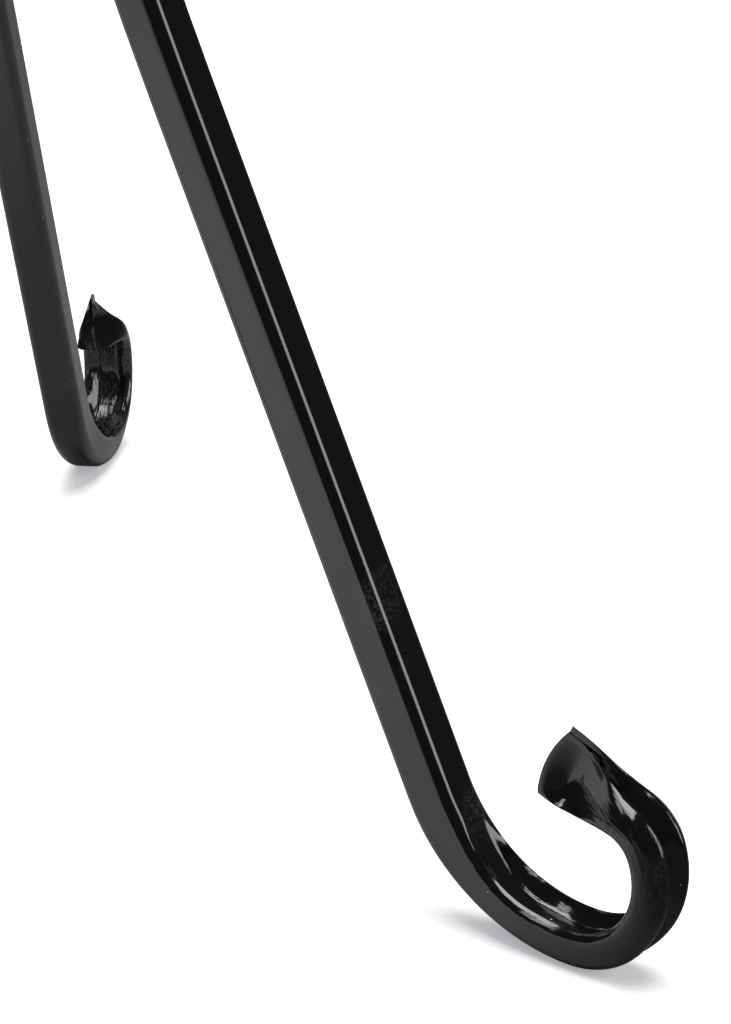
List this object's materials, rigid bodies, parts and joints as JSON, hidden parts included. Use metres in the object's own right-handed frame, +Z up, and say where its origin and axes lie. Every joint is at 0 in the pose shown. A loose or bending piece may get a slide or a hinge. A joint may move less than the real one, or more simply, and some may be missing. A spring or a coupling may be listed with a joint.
{
  "type": "hanging plant stand",
  "caption": "Floor stand for hanging plants: splayed square-tube legs with curled, crushed feet on a round pole, and matching arms that end in upturned hooks.",
  "frame": {"origin": "on the floor, at the middle of the rectangle that the stand takes up; the pole's axis stands at x = -0.0739 m, y = 0", "axes": "+Z up along the pole, +X out along the first leg; the other legs stand 120 and 240 degrees round from it, and each arm is over a leg"},
  "size_m": [0.4736, 0.546, 1.62],
  "materials": {
    "enamel": "gloss black enamel on steel tube",
    "plastic": "satin black moulded plastic",
    "zinc": "bright zinc plate"
  },
  "bodies": {
    "root": {"pole": "enamel", "pole_end_plug": "plastic", "finial": "enamel", "leg_1": "enamel", "leg_1_plug": "plastic", "leg_1_screw_a": "enamel", "leg_1_screw_b": "enamel", "leg_1_insert_a": "zinc", "leg_1_insert_b": "zinc", "leg_2": "enamel", "leg_2_plug": "plastic", "leg_2_screw_a": "enamel", "leg_2_screw_b": "enamel", "leg_2_insert_a": "zinc", "leg_2_insert_b": "zinc", "leg_3": "enamel", "leg_3_plug": "plastic", "leg_3_screw_a": "enamel", "leg_3_screw_b": "enamel", "leg_3_insert_a": "zinc", "leg_3_insert_b": "zinc", "arm_1": "enamel", "arm_1_plug": "plastic", "arm_1_screw_a": "enamel", "arm_1_screw_b": "enamel", "arm_1_insert_a": "zinc", "arm_1_insert_b": "zinc", "arm_2": "enamel", "arm_2_plug": "plastic", "arm_2_screw_a": "enamel", "arm_2_screw_b": "enamel", "arm_2_insert_a": "zinc", "arm_2_insert_b": "zinc", "arm_3": "enamel", "arm_3_plug": "plastic", "arm_3_screw_a": "enamel", "arm_3_screw_b": "enamel", "arm_3_insert_a": "zinc", "arm_3_insert_b": "zinc"}
  },
  "joints": []
}
